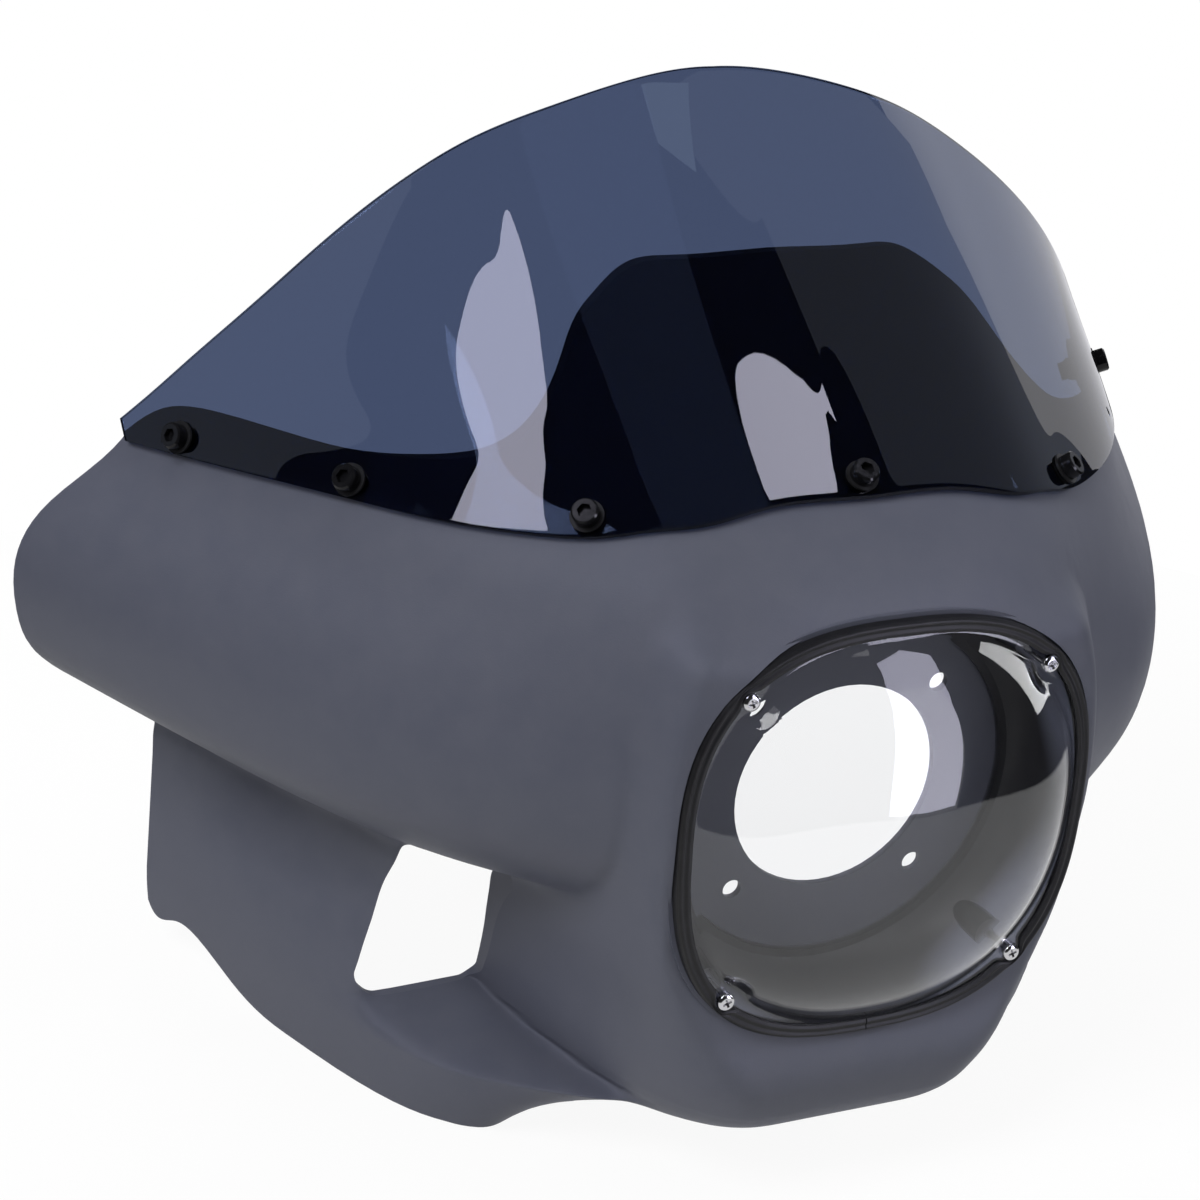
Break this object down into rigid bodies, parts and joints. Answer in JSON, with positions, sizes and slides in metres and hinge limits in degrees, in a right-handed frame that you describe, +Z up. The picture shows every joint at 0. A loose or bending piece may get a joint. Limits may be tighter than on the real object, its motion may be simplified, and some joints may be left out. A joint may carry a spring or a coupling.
{
  "type": "headlight cowl",
  "caption": "Wide motorcycle headlight cowl with side wings, tinted bolted windshield and a clear lens in rubber edging over a round lamp bowl.",
  "frame": {"origin": "centre of the lamp bore at the front face of the lamp seat", "axes": "-Y forward out of the lens, +Z up towards the windshield, X across the cowl"},
  "size_m": [0.6418, 0.3368, 0.4817],
  "materials": {
    "shell": "matte dark slate grey, faintly mottled",
    "tinted": "clear glossy sheet with a dark blue-grey tint",
    "clear": "clear glossy plastic",
    "rubber": "satin black rubber",
    "black_bolt": "glossy black",
    "black_washer": "satin black",
    "chrome_screw": "bright chrome",
    "steel": "zinc plated"
  },
  "bodies": {
    "root": {"fairing_shell": "shell", "windshield": "tinted", "headlight_lens": "clear", "lens_edging": "rubber", "windshield_bolt_1": "black_bolt", "windshield_bolt_2": "black_bolt", "windshield_bolt_3": "black_bolt", "windshield_bolt_4": "black_bolt", "windshield_bolt_5": "black_bolt", "windshield_bolt_6": "black_bolt", "windshield_washer_1": "black_washer", "windshield_washer_2": "black_washer", "windshield_washer_3": "black_washer", "windshield_washer_4": "black_washer", "windshield_washer_5": "black_washer", "windshield_washer_6": "black_washer", "well_nut_1": "rubber", "well_nut_2": "rubber", "well_nut_3": "rubber", "well_nut_4": "rubber", "well_nut_5": "rubber", "well_nut_6": "rubber", "lens_screw_1": "chrome_screw", "lens_screw_2": "chrome_screw", "lens_screw_3": "chrome_screw", "lens_screw_4": "chrome_screw", "lens_washer_1": "steel", "lens_washer_2": "steel", "lens_washer_3": "steel", "lens_washer_4": "steel", "lens_nut_1": "steel", "lens_nut_2": "steel", "lens_nut_3": "steel", "lens_nut_4": "steel"}
  },
  "joints": []
}
